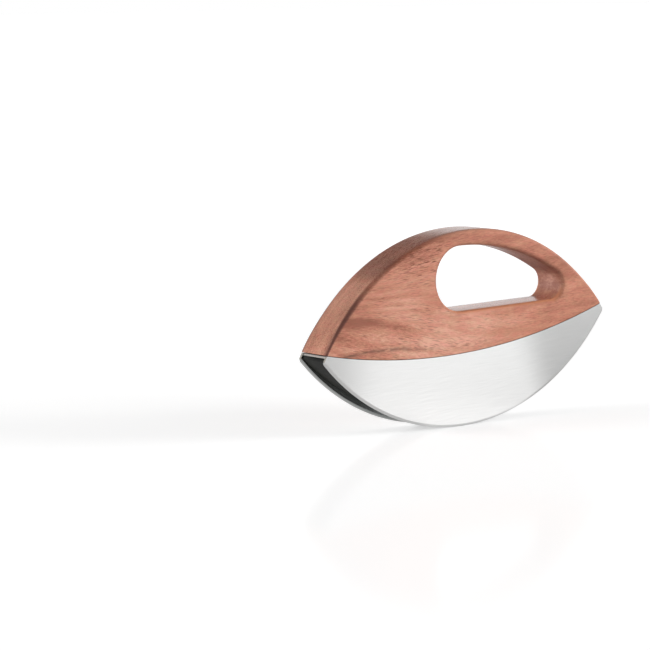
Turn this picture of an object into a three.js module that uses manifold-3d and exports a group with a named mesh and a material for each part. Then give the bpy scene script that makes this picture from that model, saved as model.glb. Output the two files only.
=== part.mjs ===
// A double-bladed mezzaluna: a lens-shaped rocking knife for chopping herbs. The upper half is a solid
// wooden handle with a hand hole, the lower half two steel crescents either side of a moulded core.
// The knife is drawn level and then leaned the way it stands on its two edges.

import * as THREE from "three";
import { mergeVertices } from "three/addons/utils/BufferGeometryUtils.js";
import Module from "manifold-3d";

// Driving dimensions in millimetres. In the side view x runs along the knife and z up, and z = 0 is the
// tip line, through the two corners where the handle's top arc and the cutting arc would meet.

// The lens
const TIP_HALF_LENGTH = 109.9; // from the middle to each of those corners
const HANDLE_RISE = 61.3; // crown of the handle above the tip line
const EDGE_SAG = 52.8; // middle of the cutting edges below the tip line
const SEAM_DROP = 9.7; // middle of the wood's underside below the tip line
const SEAM_RADIUS = 425; // the wood's underside is a shallow arc, lowest in the middle
const THICKNESS = 22.8; // across the handle, and over both blades
const EDGE_ROUND = 2.3; // round-over along the handle's top and round the hand hole
const REST_LEAN_DEG = 3.3; // the hand hole is off centre, so the knife rests with that end raised

// The hand hole: two round ends, a crowned top and a straight floor
const HOLE_BACK_X = -3.5; // middle of the large round end
const HOLE_BACK_RADIUS = 18.9;
const HOLE_FRONT_X = 67.3; // middle of the small round end
const HOLE_FRONT_RADIUS = 8.8;
const HOLE_CROWN_RADIUS = 142; // underside of the grip bar
const BAR_AT_BACK = 8.8; // wood left above the large end
const BAR_AT_FRONT = 9.4; // wood left beyond the small end

// The two blades
const BLADE_THICKNESS = 1.6;
const BLADE_END_SETBACK = 0.9; // from the handle's top arc, which the ends of the blades carry on
const BEVEL_WIDTH = 1.3; // ground from both faces
const EDGE_LAND = 0.3; // what the grinding leaves of the thickness
const TIP_ROUND = 1.8; // corner where a blade's end meets its edge

// The seam between wood and steel. The blades reach up to the wood and hide the gasket between them.
const SEAM_FIT = 0.1; // clearance round the gasket, and over the blades
const GASKET_THICKNESS = 0.4;
const GASKET_SETBACK = 0.3; // from the ends of the blades

// The steel strip that carries both blades, with tabs that are spot-welded to their inner faces
const STRIP_THICKNESS = 1.1;
const STRIP_SETBACK = 0.4; // from the ends of the blades
const TAB_WIDTH = 14;
const TAB_DEPTH = 8; // below the strip
const TAB_THICKNESS = 1;
const TAB_CORNER = 2.5;
const TAB_PLACES = [-86, -33, 33, 86];

// The moulded core, a shell that is open towards the strip
const CORE_FIT = 0.3; // clearance to the strip, its tabs, the screws and the caps
const CORE_END_SETBACK = 1; // from the ends of the blades
const CORE_TIP_SETBACK = 1.6; // from the edge arc, along the tip line
const CORE_MIDDLE_SETBACK = 3.2; // from the edge arc, in the middle
const CORE_TIP_ROUND = 0.6;
const CORE_WALL = 2.4;
const RIB_THICKNESS = 2;
const RIB_PLACES = [-33, 33];
const BOSS_DIAMETER = 13;
const BOSS_ROOF = 4; // plastic between a screw's head and the strip

// Three screws, each in a brass insert in the wood, with a plug under its head
const SCREW_SPACING = 66;
const SCREW_DIAMETER = 4;
const HEAD_DIAMETER = 7.6;
const HEAD_HEIGHT = 2.8;
const HEAD_CHAMFER = 0.8;
const SOCKET_ACROSS_FLATS = 2.5;
const SOCKET_DEPTH = 1.6;
const POINT_CHAMFER = 0.6;
const INSERT_DIAMETER = 7;
const INSERT_LENGTH = 9;
const INSERT_SETBACK = 0.8; // into the wood, so that it can't stand proud
const INSERT_COLLAR = 1.2; // plain band at either end of the insert
const INSERT_WAIST = 0.4; // depth of the groove between the bands
const INSERT_FIT = 0.3; // clearance round the insert and the screw in it
const BORE_SPARE = 1.6; // room in the wood past the end of the insert
const CAP_DEPTH = 5;

// How far a facet may leave a true arc, the facets across a round-over and the sides of turned pieces
const CHORD = 0.025;
const ROUND_FACETS = 4;
const TURNED_SIDES = 20;
const OVERCUT = 1; // how far a cutting body reaches past the surface it cuts

const wasm = await Module();
wasm.setup();

// The circles of the side view. Their centres all lie on the knife's middle line.
const handleArc = arcThrough(TIP_HALF_LENGTH, HANDLE_RISE);
const edgeArc = arcThrough(TIP_HALF_LENGTH, -EDGE_SAG);
const coreArc = arcThrough(TIP_HALF_LENGTH - CORE_TIP_SETBACK, CORE_MIDDLE_SETBACK - EDGE_SAG);
const seamCentre = new THREE.Vector2(0, SEAM_RADIUS - SEAM_DROP);

// Radii down through the seam, measured from the seam's centre
const bladeTop = SEAM_RADIUS + SEAM_FIT;
const gasketTop = SEAM_RADIUS + SEAM_FIT;
const gasketUnderside = gasketTop + GASKET_THICKNESS;
const stripTop = gasketUnderside + SEAM_FIT;
const stripUnderside = stripTop + STRIP_THICKNESS;
const coreTop = stripUnderside + CORE_FIT;

const bladeEndRadius = handleArc.radius - BLADE_END_SETBACK;
const halfThickness = THICKNESS / 2;
const innerFace = halfThickness - BLADE_THICKNESS;
const screwPlaces = { left: -SCREW_SPACING, middle: 0, right: SCREW_SPACING };
const screwBore = SCREW_DIAMETER + 2 * CORE_FIT;
const headBore = HEAD_DIAMETER + 2 * CORE_FIT;

const finishes = {
  wood: new THREE.MeshStandardMaterial({ color: 0xc48b72, roughness: 0.6, metalness: 0 }),
  brushedSteel: new THREE.MeshStandardMaterial({ color: 0xd2d3d3, roughness: 0.35, metalness: 1 }),
  blackPlastic: new THREE.MeshStandardMaterial({ color: 0x32332f, roughness: 0.8, metalness: 0 }),
  seal: new THREE.MeshStandardMaterial({ color: 0x1c1c1b, roughness: 0.9, metalness: 0 }),
  screwSteel: new THREE.MeshStandardMaterial({ color: 0xb4b6b8, roughness: 0.4, metalness: 1 }),
  brass: new THREE.MeshStandardMaterial({ color: 0xb8964f, roughness: 0.4, metalness: 1 }),
};

// Plane geometry of the side view

// The circle through both tips that stands a given height above the tip line, or below it if negative.
function arcThrough(halfLength, rise) {
  const radius = (halfLength ** 2 + rise ** 2) / (2 * Math.abs(rise));
  return { radius, centre: new THREE.Vector2(0, rise - Math.sign(rise) * radius) };
}

// Where two circles meet, to the right of the way from the first centre to the second.
function meet(first, firstRadius, second, secondRadius) {
  const way = second.clone().sub(first);
  const distance = way.length();
  const along = (firstRadius ** 2 - secondRadius ** 2 + distance ** 2) / (2 * distance);
  const aside = Math.sqrt(firstRadius ** 2 - along ** 2);
  way.divideScalar(distance);
  const right = new THREE.Vector2(way.y, -way.x);
  return first.clone().addScaledVector(way, along).addScaledVector(right, aside);
}

// Points along an arc from one point to another, without the last one.
function arc(centre, from, to, clockwise = true) {
  const radius = from.distanceTo(centre);
  const start = from.clone().sub(centre).angle();
  const end = to.clone().sub(centre).angle();
  const fullTurn = 2 * Math.PI;
  const sweep = clockwise ? -((start - end + fullTurn) % fullTurn) : (end - start + fullTurn) % fullTurn;
  const steps = Math.max(2, Math.ceil(Math.abs(sweep) / (2 * Math.acos(1 - CHORD / radius))));
  return Array.from({ length: steps }, (_, i) => {
    const angle = start + (sweep * i) / steps;
    return new THREE.Vector2(centre.x + radius * Math.cos(angle), centre.y + radius * Math.sin(angle));
  });
}

// The point of a circle that lies straight on from another centre through its own.
function beyond(from, centre, radius) {
  return centre.clone().add(centre.clone().sub(from).setLength(radius));
}

function mirrored(point) {
  return new THREE.Vector2(-point.x, point.y);
}

// Height of the lower half of a circle at a distance from the middle of the knife.
function underside(centre, radius, x) {
  return centre.y - Math.sqrt(radius ** 2 - x ** 2);
}

// A crescent below the seam: the seam on top, ends that follow the handle's arc and a lower arc, with the
// corner at each tip rounded. Where the seam runs out before an end is reached, the crescent is pointed.
function crescent(topRadius, endRadius, lower, tipRound) {
  const corner = meet(handleArc.centre, endRadius, seamCentre, topRadius);
  const tip = meet(handleArc.centre, endRadius - tipRound, lower.centre, lower.radius - tipRound);
  const tipStart = beyond(handleArc.centre, tip, tipRound);
  const tipEnd = beyond(lower.centre, tip, tipRound);
  if (tipStart.y > corner.y) {
    const point = meet(lower.centre, lower.radius, seamCentre, topRadius);
    return [
      ...arc(lower.centre, point, mirrored(point)),
      ...arc(seamCentre, mirrored(point), point, false),
    ];
  }
  return [
    ...arc(handleArc.centre, corner, tipStart),
    ...arc(tip, tipStart, tipEnd),
    ...arc(lower.centre, tipEnd, mirrored(tipEnd)),
    ...arc(mirrored(tip), mirrored(tipEnd), mirrored(tipStart)),
    ...arc(handleArc.centre, mirrored(tipStart), mirrored(corner)),
    ...arc(seamCentre, mirrored(corner), corner, false),
  ];
}

// A thin band that follows the seam, with ends along the handle's arc.
function seamBand(topRadius, bottomRadius, endRadius) {
  const top = meet(handleArc.centre, endRadius, seamCentre, topRadius);
  const bottom = meet(handleArc.centre, endRadius, seamCentre, bottomRadius);
  return [
    top,
    ...arc(seamCentre, bottom, mirrored(bottom)),
    mirrored(bottom),
    ...arc(seamCentre, mirrored(top), top, false),
  ];
}

// Solids

// An outline of the side view carried across the knife, with its edges rounded over if asked. Outlines
// and holes are all drawn clockwise, so a hole is turned round to count as one.
function prism(outline, yFrom, yTo, { holes = [], round = 0 } = {}) {
  const shape = new THREE.Shape(outline);
  shape.holes = holes.map((points) => new THREE.Path(points.toReversed()));
  const geometry = new THREE.ExtrudeGeometry(shape, {
    depth: yTo - yFrom - 2 * round,
    bevelEnabled: round > 0,
    bevelThickness: round,
    bevelSize: round,
    bevelOffset: -round,
    bevelSegments: ROUND_FACETS,
  });
  geometry.rotateX(Math.PI / 2);
  geometry.translate(0, yTo - round, 0);
  return solid(geometry);
}

// A profile of radius and height turned about an upright axis.
function turned(profile, x, z, sides = TURNED_SIDES) {
  const points = profile.map(([radius, height]) => new THREE.Vector2(radius, height));
  const geometry = new THREE.LatheGeometry(points, sides);
  geometry.rotateX(Math.PI / 2);
  geometry.translate(x, 0, z);
  return solid(geometry);
}

function rod(diameter, x, zFrom, zTo, sides = TURNED_SIDES) {
  return turned([[0, 0], [diameter / 2, 0], [diameter / 2, zTo - zFrom], [0, zTo - zFrom]], x, zFrom, sides);
}

function rectangle(x, width, zFrom, zTo) {
  const corners = [[-1, zFrom], [-1, zTo], [1, zTo], [1, zFrom]];
  return corners.map(([side, z]) => new THREE.Vector2(x + (side * width) / 2, z));
}

// A closed body for cutting and joining, from a geometry whose shared corners are merged.
function solid(geometry) {
  geometry.deleteAttribute("normal");
  geometry.deleteAttribute("uv");
  const merged = mergeVertices(geometry);
  const corners = Array.from(merged.index.array);
  const triangles = [];
  for (let i = 0; i < corners.length; i += 3) {
    const [a, b, c] = corners.slice(i, i + 3);
    if (a !== b && b !== c && c !== a) triangles.push(a, b, c);
  }
  const vertProperties = new Float32Array(merged.attributes.position.array);
  return new wasm.Manifold(
    new wasm.Mesh({ numProp: 3, vertProperties, triVerts: new Uint32Array(triangles) }),
  );
}

function piece(name, body, finish) {
  const { vertProperties, triVerts } = body.getMesh();
  const geometry = new THREE.BufferGeometry();
  geometry.setAttribute("position", new THREE.BufferAttribute(vertProperties, 3));
  geometry.setIndex(new THREE.BufferAttribute(triVerts, 1));
  geometry.computeVertexNormals();
  const mesh = new THREE.Mesh(geometry, finish);
  mesh.name = name;
  return mesh;
}

function cutAll(body, cutters) {
  return cutters.reduce((rest, cutter) => rest.subtract(cutter), body);
}

function joinAll(body, additions) {
  return additions.reduce((whole, addition) => whole.add(addition), body);
}

function atEachScrew(make) {
  return Object.values(screwPlaces).map(make);
}

// The handle

// Two circles under the grip bar, joined by a crowned top and by the straight line that touches both.
function handHole() {
  const endCentre = (x, bar, radius) => {
    const reach = handleArc.radius - bar - radius;
    return new THREE.Vector2(x, handleArc.centre.y + Math.sqrt(reach ** 2 - x ** 2));
  };
  const back = endCentre(HOLE_BACK_X, BAR_AT_BACK, HOLE_BACK_RADIUS);
  const front = endCentre(HOLE_FRONT_X, BAR_AT_FRONT, HOLE_FRONT_RADIUS);
  const crown = meet(back, HOLE_CROWN_RADIUS - HOLE_BACK_RADIUS, front, HOLE_CROWN_RADIUS - HOLE_FRONT_RADIUS);
  const way = front.clone().sub(back);
  const slant = (HOLE_BACK_RADIUS - HOLE_FRONT_RADIUS) / way.length();
  way.normalize();
  const down = new THREE.Vector2(way.y, -way.x).multiplyScalar(Math.sqrt(1 - slant ** 2));
  down.addScaledVector(way, slant);
  const floorBack = back.clone().addScaledVector(down, HOLE_BACK_RADIUS);
  const floorFront = front.clone().addScaledVector(down, HOLE_FRONT_RADIUS);
  const crownBack = beyond(crown, back, HOLE_BACK_RADIUS);
  const crownFront = beyond(crown, front, HOLE_FRONT_RADIUS);
  return [
    ...arc(crown, crownBack, crownFront),
    ...arc(front, crownFront, floorFront),
    floorFront,
    ...arc(back, floorBack, crownBack),
  ];
}

// The blank runs on below the seam, which cuts it off.
function handleBlank() {
  const depth = -SEAM_DROP - 2 * EDGE_ROUND;
  const foot = new THREE.Vector2(Math.sqrt(handleArc.radius ** 2 - (depth - handleArc.centre.y) ** 2), depth);
  return [...arc(handleArc.centre, mirrored(foot), foot), foot];
}

function belowSeam() {
  const right = new THREE.Vector2(handleArc.radius + OVERCUT, 0);
  right.y = underside(seamCentre, SEAM_RADIUS, right.x);
  const deep = new THREE.Vector2(right.x, -EDGE_SAG);
  return prism(
    [...arc(seamCentre, mirrored(right), right, false), right, deep, mirrored(deep)],
    -halfThickness - OVERCUT,
    halfThickness + OVERCUT,
  );
}

function woodUnderside(x) {
  return underside(seamCentre, SEAM_RADIUS, x);
}

function handle() {
  const body = prism(handleBlank(), -halfThickness, halfThickness, { holes: [handHole()], round: EDGE_ROUND });
  const insertBores = atEachScrew((x) => {
    const start = woodUnderside(x) - 2 * OVERCUT;
    const end = woodUnderside(x) + INSERT_SETBACK + INSERT_LENGTH + BORE_SPARE;
    return rod(INSERT_DIAMETER + 2 * INSERT_FIT, x, start, end);
  });
  return cutAll(body, [belowSeam(), ...insertBores]);
}

// A bush with a plain band at either end and a grooved waist that bites into the wood
function insert(x) {
  const bore = SCREW_DIAMETER / 2 + INSERT_FIT;
  const outside = INSERT_DIAMETER / 2;
  const waist = outside - INSERT_WAIST;
  const lowBand = INSERT_COLLAR;
  const highBand = INSERT_LENGTH - INSERT_COLLAR;
  const profile = [
    [bore, 0],
    [outside, 0],
    [outside, lowBand],
    [waist, lowBand + INSERT_WAIST],
    [waist, highBand - INSERT_WAIST],
    [outside, highBand],
    [outside, INSERT_LENGTH],
    [bore, INSERT_LENGTH],
    [bore, 0],
  ];
  return turned(profile, x, woodUnderside(x) + INSERT_SETBACK);
}

// The blade unit

// A plate whose lower edge is ground from both faces, each to a cone about the axis of the edge arc
function blade(side) {
  const [near, far] = [side * innerFace, side * halfThickness].sort((a, b) => a - b);
  const plate = prism(crescent(bladeTop, bladeEndRadius, edgeArc, TIP_ROUND), near, far);
  const steepness = (BLADE_THICKNESS - EDGE_LAND) / (2 * BEVEL_WIDTH);
  const middle = (near + far) / 2;
  const halfWidth = BLADE_THICKNESS / 2 + steepness * OVERCUT;
  const shoulder = edgeArc.radius - BEVEL_WIDTH - OVERCUT;
  const profile = [
    new THREE.Vector2(0, middle - halfWidth),
    new THREE.Vector2(shoulder, middle - halfWidth),
    new THREE.Vector2(shoulder + halfWidth / steepness, middle),
    new THREE.Vector2(shoulder, middle + halfWidth),
    new THREE.Vector2(0, middle + halfWidth),
  ];
  const sides = Math.ceil(Math.PI / Math.acos(1 - CHORD / edgeArc.radius));
  const grind = new THREE.LatheGeometry(profile, sides);
  grind.translate(0, 0, edgeArc.centre.y);
  return plate.intersect(solid(grind));
}

function tabTop(x, radius) {
  return new THREE.Vector2(x, underside(seamCentre, radius, x));
}

function tabFoot(x) {
  return underside(seamCentre, stripUnderside, x) - TAB_DEPTH;
}

// A tab hangs from the middle of the strip's thickness and has two rounded lower corners.
function tabOutline(x) {
  const half = TAB_WIDTH / 2;
  const middle = (stripTop + stripUnderside) / 2;
  const foot = tabFoot(x);
  const corner = (side) => new THREE.Vector2(x + side * (half - TAB_CORNER), foot + TAB_CORNER);
  const flank = (side) => new THREE.Vector2(x + side * half, foot + TAB_CORNER);
  const toe = (side) => new THREE.Vector2(x + side * (half - TAB_CORNER), foot);
  return [
    tabTop(x - half, middle),
    tabTop(x + half, middle),
    ...arc(corner(1), flank(1), toe(1)),
    toe(1),
    ...arc(corner(-1), toe(-1), flank(-1)),
    flank(-1),
  ];
}

// Both rows of tabs, or the pockets for them, as pairs on the inner faces of the two blades
function onBothBlades(outline, depth, past) {
  return [
    prism(outline, -innerFace - past, -innerFace + depth),
    prism(outline, innerFace - depth, innerFace + past),
  ];
}

function carrierStrip() {
  const outline = seamBand(stripTop, stripUnderside, bladeEndRadius - STRIP_SETBACK);
  const strip = prism(outline, -innerFace, innerFace);
  const tabs = TAB_PLACES.flatMap((x) => onBothBlades(tabOutline(x), TAB_THICKNESS, 0));
  const bores = atEachScrew((x) => {
    const middle = underside(seamCentre, stripTop, x);
    const reach = 2 * STRIP_THICKNESS + OVERCUT;
    return rod(screwBore, x, middle - reach, middle + reach);
  });
  return cutAll(joinAll(strip, tabs), bores);
}

function seamGasket() {
  const outline = seamBand(gasketTop, gasketUnderside, bladeEndRadius - GASKET_SETBACK);
  const width = innerFace - SEAM_FIT;
  const bores = atEachScrew((x) => {
    const middle = underside(seamCentre, gasketTop, x);
    const reach = 2 * GASKET_THICKNESS + OVERCUT;
    return rod(screwBore, x, middle - reach, middle + reach);
  });
  return cutAll(prism(outline, -width, width), bores);
}

// The core

const coreEndRadius = bladeEndRadius - CORE_END_SETBACK;

function coreUnderside(x) {
  return underside(coreArc.centre, coreArc.radius, x);
}

// Where the underside of a screw's head bears on the roof of its boss
function headSeat(x) {
  return underside(seamCentre, coreTop, x) - BOSS_ROOF;
}

// The hollow of the shell: walls all round, less the screw bosses and the ribs that stiffen it
function coreHollow() {
  const floor = { centre: coreArc.centre, radius: coreArc.radius - CORE_WALL };
  const outline = crescent(SEAM_RADIUS, coreEndRadius - CORE_WALL, floor, CORE_TIP_ROUND);
  const hollow = prism(outline, CORE_WALL - innerFace, innerFace - CORE_WALL);
  const bosses = atEachScrew((x) => rod(BOSS_DIAMETER, x, -EDGE_SAG, SEAM_DROP));
  const ribs = [...Object.values(screwPlaces), ...RIB_PLACES].map((x) =>
    prism(rectangle(x, RIB_THICKNESS, -EDGE_SAG, SEAM_DROP), -innerFace, innerFace),
  );
  return cutAll(hollow, [...bosses, ...ribs]);
}

function core() {
  const outline = crescent(coreTop, coreEndRadius, coreArc, CORE_TIP_ROUND);
  const pockets = TAB_PLACES.flatMap((x) => {
    const outline = rectangle(x, TAB_WIDTH + 2 * CORE_FIT, tabFoot(x) - CORE_FIT, SEAM_DROP);
    return onBothBlades(outline, TAB_THICKNESS + CORE_FIT, OVERCUT);
  });
  const bores = atEachScrew((x) => rod(screwBore, x, -EDGE_SAG, SEAM_DROP));
  const headBores = atEachScrew((x) => rod(headBore, x, -EDGE_SAG - OVERCUT, headSeat(x)));
  const block = prism(outline, -innerFace, innerFace);
  return cutAll(block, [coreHollow(), ...pockets, ...bores, ...headBores]);
}

// Fasteners

// A cap screw with a six-sided socket in its chamfered head, threaded end up
function screw(x) {
  const seat = headSeat(x) - CORE_FIT;
  const tip = woodUnderside(x) + INSERT_SETBACK + INSERT_LENGTH - seat;
  const shank = SCREW_DIAMETER / 2;
  const head = HEAD_DIAMETER / 2;
  const profile = [
    [0, -HEAD_HEIGHT],
    [head - HEAD_CHAMFER, -HEAD_HEIGHT],
    [head, HEAD_CHAMFER - HEAD_HEIGHT],
    [head, 0],
    [shank, 0],
    [shank, tip - POINT_CHAMFER],
    [shank - POINT_CHAMFER, tip],
    [0, tip],
  ];
  const socketAcrossCorners = (2 * SOCKET_ACROSS_FLATS) / Math.sqrt(3);
  const headFace = seat - HEAD_HEIGHT;
  const socket = rod(socketAcrossCorners, x, headFace - OVERCUT, headFace + SOCKET_DEPTH, 6);
  return turned(profile, x, seat).subtract(socket);
}

// A plug whose outer face carries on the core's underside
function cap(x) {
  const outline = crescent(coreTop, coreEndRadius, coreArc, CORE_TIP_ROUND);
  const plug = rod(headBore - 2 * CORE_FIT, x, -EDGE_SAG, coreUnderside(x) + CAP_DEPTH);
  return plug.intersect(prism(outline, -innerFace, innerFace));
}

// Assembly

const handleUnit = new THREE.Group();
handleUnit.add(piece("handle", handle(), finishes.wood));

const bladeUnit = new THREE.Group();
bladeUnit.add(
  piece("seam_gasket", seamGasket(), finishes.seal),
  piece("carrier_strip", carrierStrip(), finishes.brushedSteel),
  piece("blade_front", blade(-1), finishes.brushedSteel),
  piece("blade_rear", blade(1), finishes.brushedSteel),
  piece("core", core(), finishes.blackPlastic),
);

const fasteners = new THREE.Group();
for (const [place, x] of Object.entries(screwPlaces)) {
  handleUnit.add(piece(`insert_${place}`, insert(x), finishes.brass));
  fasteners.add(piece(`screw_${place}`, screw(x), finishes.screwSteel));
  fasteners.add(piece(`cap_${place}`, cap(x), finishes.blackPlastic));
}

// Leaned about the crosswise axis, then stood on the ground with its middle at the origin
const knife = new THREE.Group();
knife.add(handleUnit, bladeUnit, fasteners);
knife.rotation.y = -THREE.MathUtils.degToRad(REST_LEAN_DEG);
const mezzaluna = new THREE.Group();
mezzaluna.add(knife);
const reach = new THREE.Box3().setFromObject(mezzaluna, true);
knife.position.set(-(reach.min.x + reach.max.x) / 2, 0, -reach.min.z);

export default mezzaluna;
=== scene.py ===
import bpy
import numpy as np
from mathutils import Euler, Matrix, Vector


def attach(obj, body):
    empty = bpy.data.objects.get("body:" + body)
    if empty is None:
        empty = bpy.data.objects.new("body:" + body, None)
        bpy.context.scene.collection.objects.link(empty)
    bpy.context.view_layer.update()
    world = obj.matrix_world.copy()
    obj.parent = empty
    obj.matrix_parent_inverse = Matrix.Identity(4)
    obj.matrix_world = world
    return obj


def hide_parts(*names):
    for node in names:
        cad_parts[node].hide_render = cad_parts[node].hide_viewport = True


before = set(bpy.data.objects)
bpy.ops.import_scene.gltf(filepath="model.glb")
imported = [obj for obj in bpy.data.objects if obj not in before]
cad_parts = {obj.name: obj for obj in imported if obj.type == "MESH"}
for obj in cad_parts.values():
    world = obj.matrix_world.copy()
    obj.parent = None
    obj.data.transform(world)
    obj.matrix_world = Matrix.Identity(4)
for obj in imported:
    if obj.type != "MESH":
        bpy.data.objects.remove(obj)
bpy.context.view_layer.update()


# The handle: one solid lens of oiled, salmon-brown hardwood, sawn from a plank whose grain runs along the
# knife. Its edges are rounded over by hand, the hand hole is milled right through and finely sanded, and
# the underside is cut square along a shallow arc where the blade unit is screwed on.

# Side view in millimetres with the knife level: x along it, z up, z = 0 through the two tips.
TIP_REACH = 109.9
HANDLE_RISE = 61.3
SEAM_RADIUS = 425.0
SEAM_LOW = -9.7
FOOT_LEVEL = -15.0
HALF_THICK = 11.4
OUTER_ROUND = 2.5
OUTER_ROUND_AT_TIPS = 1.2
TAPER_HEIGHT = 30.0

# The hand hole: its two end circles, the radius of its roof, its rounded edge and a place in its middle.
HOLE_BACK, HOLE_BACK_RADIUS = np.array([-3.5, 33.54]), 18.9
HOLE_FRONT, HOLE_FRONT_RADIUS = np.array([67.3, 20.36]), 8.8
HOLE_ROOF_RADIUS = 142.0
HOLE_ROUND = 2.8
HOLE_MIDDLE = np.array([22.0, 27.0])

# How the level knife leans on its edges, and where its tip line's middle then is, in millimetres.
LEAN = np.radians(3.3)
STAND_X, STAND_Z = -0.041, 52.946
MM = 0.001

# How far apart the samples of the handle's outlines lie, and the least step between two of them as a share
# of the whole.
SAMPLE_SPACING = 1.3
LEAST_STEP = 4e-4


def stand(points):
    """Level millimetres to metres where the knife stands: turned about y by the lean, then shifted."""
    x, y, z = np.moveaxis(np.asarray(points, float), -1, 0)
    leaned_x = x * np.cos(LEAN) - z * np.sin(LEAN) + STAND_X
    leaned_z = x * np.sin(LEAN) + z * np.cos(LEAN) + STAND_Z
    return MM * np.stack([leaned_x, y, leaned_z], axis=-1)


def circle_through_tips(rise, reach=TIP_REACH):
    """Radius and centre height of the circle through two tips on z = 0 that rises this much between them."""
    radius = (reach**2 + rise**2) / (2 * abs(rise))
    return radius, rise - np.sign(rise) * radius


def arc(centre, radius, start, end, count):
    """Points on a circle between two angles."""
    angle = np.linspace(start, end, count)
    return np.stack([centre[0] + radius * np.cos(angle), centre[1] + radius * np.sin(angle)], axis=-1)


def seam(x, drop=0.0):
    """Height of the wood's underside, a circle that is lowest in the middle, or of a parallel below it."""
    return SEAM_LOW + SEAM_RADIUS - np.sqrt((SEAM_RADIUS + drop) ** 2 - x**2)


def smooth_step(value):
    """0 below 0, 1 above 1 and an S curve between."""
    t = np.clip(value, 0, 1)
    return t * t * (3 - 2 * t)


CROWN_RADIUS, CROWN_CENTRE = circle_through_tips(HANDLE_RISE)


def crown_outline():
    """The handle from its right foot over the crown to its left foot, all on the crown's circle, with outward
    normals. The feet lie below the seam, which cuts them off."""
    foot = np.arcsin((FOOT_LEVEL - CROWN_CENTRE) / CROWN_RADIUS)
    points = arc((0, CROWN_CENTRE), CROWN_RADIUS, foot, np.pi - foot, count=3200)
    return points, (points - (0, CROWN_CENTRE)) / CROWN_RADIUS


def hole_outline(outset):
    """The hand hole, grown by outset: a large and a small round end, a crowned roof that touches both and
    the straight floor that touches both. It runs anticlockwise from the floor's right end."""
    way = HOLE_FRONT - HOLE_BACK
    distance = np.hypot(*way)
    way = way / distance
    side = np.array([way[1], -way[0]])
    slant = (HOLE_BACK_RADIUS - HOLE_FRONT_RADIUS) / distance
    floor_normal = side * np.sqrt(1 - slant**2) + way * slant
    reach_back = HOLE_ROOF_RADIUS - HOLE_BACK_RADIUS
    reach_front = HOLE_ROOF_RADIUS - HOLE_FRONT_RADIUS
    along = (reach_back**2 - reach_front**2 + distance**2) / (2 * distance)
    roof = HOLE_BACK + way * along + side * np.sqrt(reach_back**2 - along**2)
    floor_angle = np.arctan2(floor_normal[1], floor_normal[0])
    front_angle = np.arctan2(*(HOLE_FRONT - roof)[::-1])
    back_angle = np.arctan2(*(HOLE_BACK - roof)[::-1])
    return np.concatenate([
        arc(HOLE_FRONT, HOLE_FRONT_RADIUS + outset, floor_angle, front_angle, count=500)[:-1],
        arc(roof, HOLE_ROOF_RADIUS + outset, front_angle, back_angle, count=700)[:-1],
        arc(HOLE_BACK, HOLE_BACK_RADIUS + outset, back_angle, floor_angle + 2 * np.pi, count=700),
    ])


def bearing(points, first):
    """Angle of each point about the hole's middle, counted up from the first one without a jump."""
    offset = points - HOLE_MIDDLE
    angle = np.unwrap(np.arctan2(offset[:, 1], offset[:, 0]))
    return angle + 2 * np.pi * np.round((first - angle[0]) / (2 * np.pi))


def by_bearing(points, angles, first):
    """Points of a dense outline at the given angles about the hole's middle."""
    known = bearing(points, first)
    return np.stack([np.interp(angles, known, column) for column in points.T], axis=-1)


def spread(points, first, turn_weight=8.0):
    """Angles of samples along an outline, closer together where it turns."""
    step = np.diff(points, axis=0)
    heading = np.unwrap(np.arctan2(step[:, 1], step[:, 0]))
    turning = np.abs(np.diff(heading, prepend=heading[0]))
    travelled = np.concatenate([[0], np.cumsum(np.hypot(*step.T) + turn_weight * turning)])
    wanted = np.linspace(0, travelled[-1], int(travelled[-1] / SAMPLE_SPACING))
    return np.interp(wanted, travelled, bearing(points, first))


def above_seam(points, extra):
    """The stretch of an outline above the seam, cut off where it crosses it, and a value along it."""
    clearance = points[:, 1] - seam(points[:, 0])
    first, last = np.flatnonzero(clearance > 0)[[0, -1]]

    def crossing(a, b):
        share = clearance[a] / (clearance[a] - clearance[b])
        return points[a] + share * (points[b] - points[a])

    ends = crossing(first, first - 1), crossing(last, last + 1)
    kept = np.concatenate([ends[:1], points[first:last + 1], ends[1:]])
    return kept, np.concatenate([extra[first:first + 1], extra[first:last + 1], extra[last:last + 1]])


def seam_outline(left, right):
    """The wood's underside from one corner to the other."""
    x = np.linspace(left[0], right[0], num=1500)
    return np.stack([x, seam(x)], axis=-1)


outline, outline_normal = crown_outline()
above = smooth_step((outline[:, 1] - seam(outline[:, 0])) / TAPER_HEIGHT)
outline_round = OUTER_ROUND_AT_TIPS + (OUTER_ROUND - OUTER_ROUND_AT_TIPS) * above


def outer_ring(share):
    """One closed ring of the handle's outside. share runs from 0 on the wall to 1 on the flat face, and the
    ring lies that share of the local round-over inside the outline. Returns points, rounding and angles."""
    inset = outline - outline_normal * (share * outline_round)[:, None]
    top, rounding = above_seam(inset, outline_round)
    under = seam_outline(top[-1], top[0])
    top_span = bearing(top, 0.0)[[0, -1]]
    under_span = bearing(under, np.pi)[[0, -1]]
    top_angles = top_span[0] + TOP_SHARES * (top_span[1] - top_span[0])
    under_angles = under_span[0] + UNDER_SHARES * (under_span[1] - under_span[0])
    points = np.concatenate([by_bearing(top, top_angles, 0.0), by_bearing(under, under_angles, np.pi)])
    radius = np.concatenate([
        np.interp(top_angles, bearing(top, 0.0), rounding),
        np.full(len(under_angles), OUTER_ROUND_AT_TIPS),
    ])
    return points, radius, np.concatenate([top_angles, under_angles])


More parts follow.
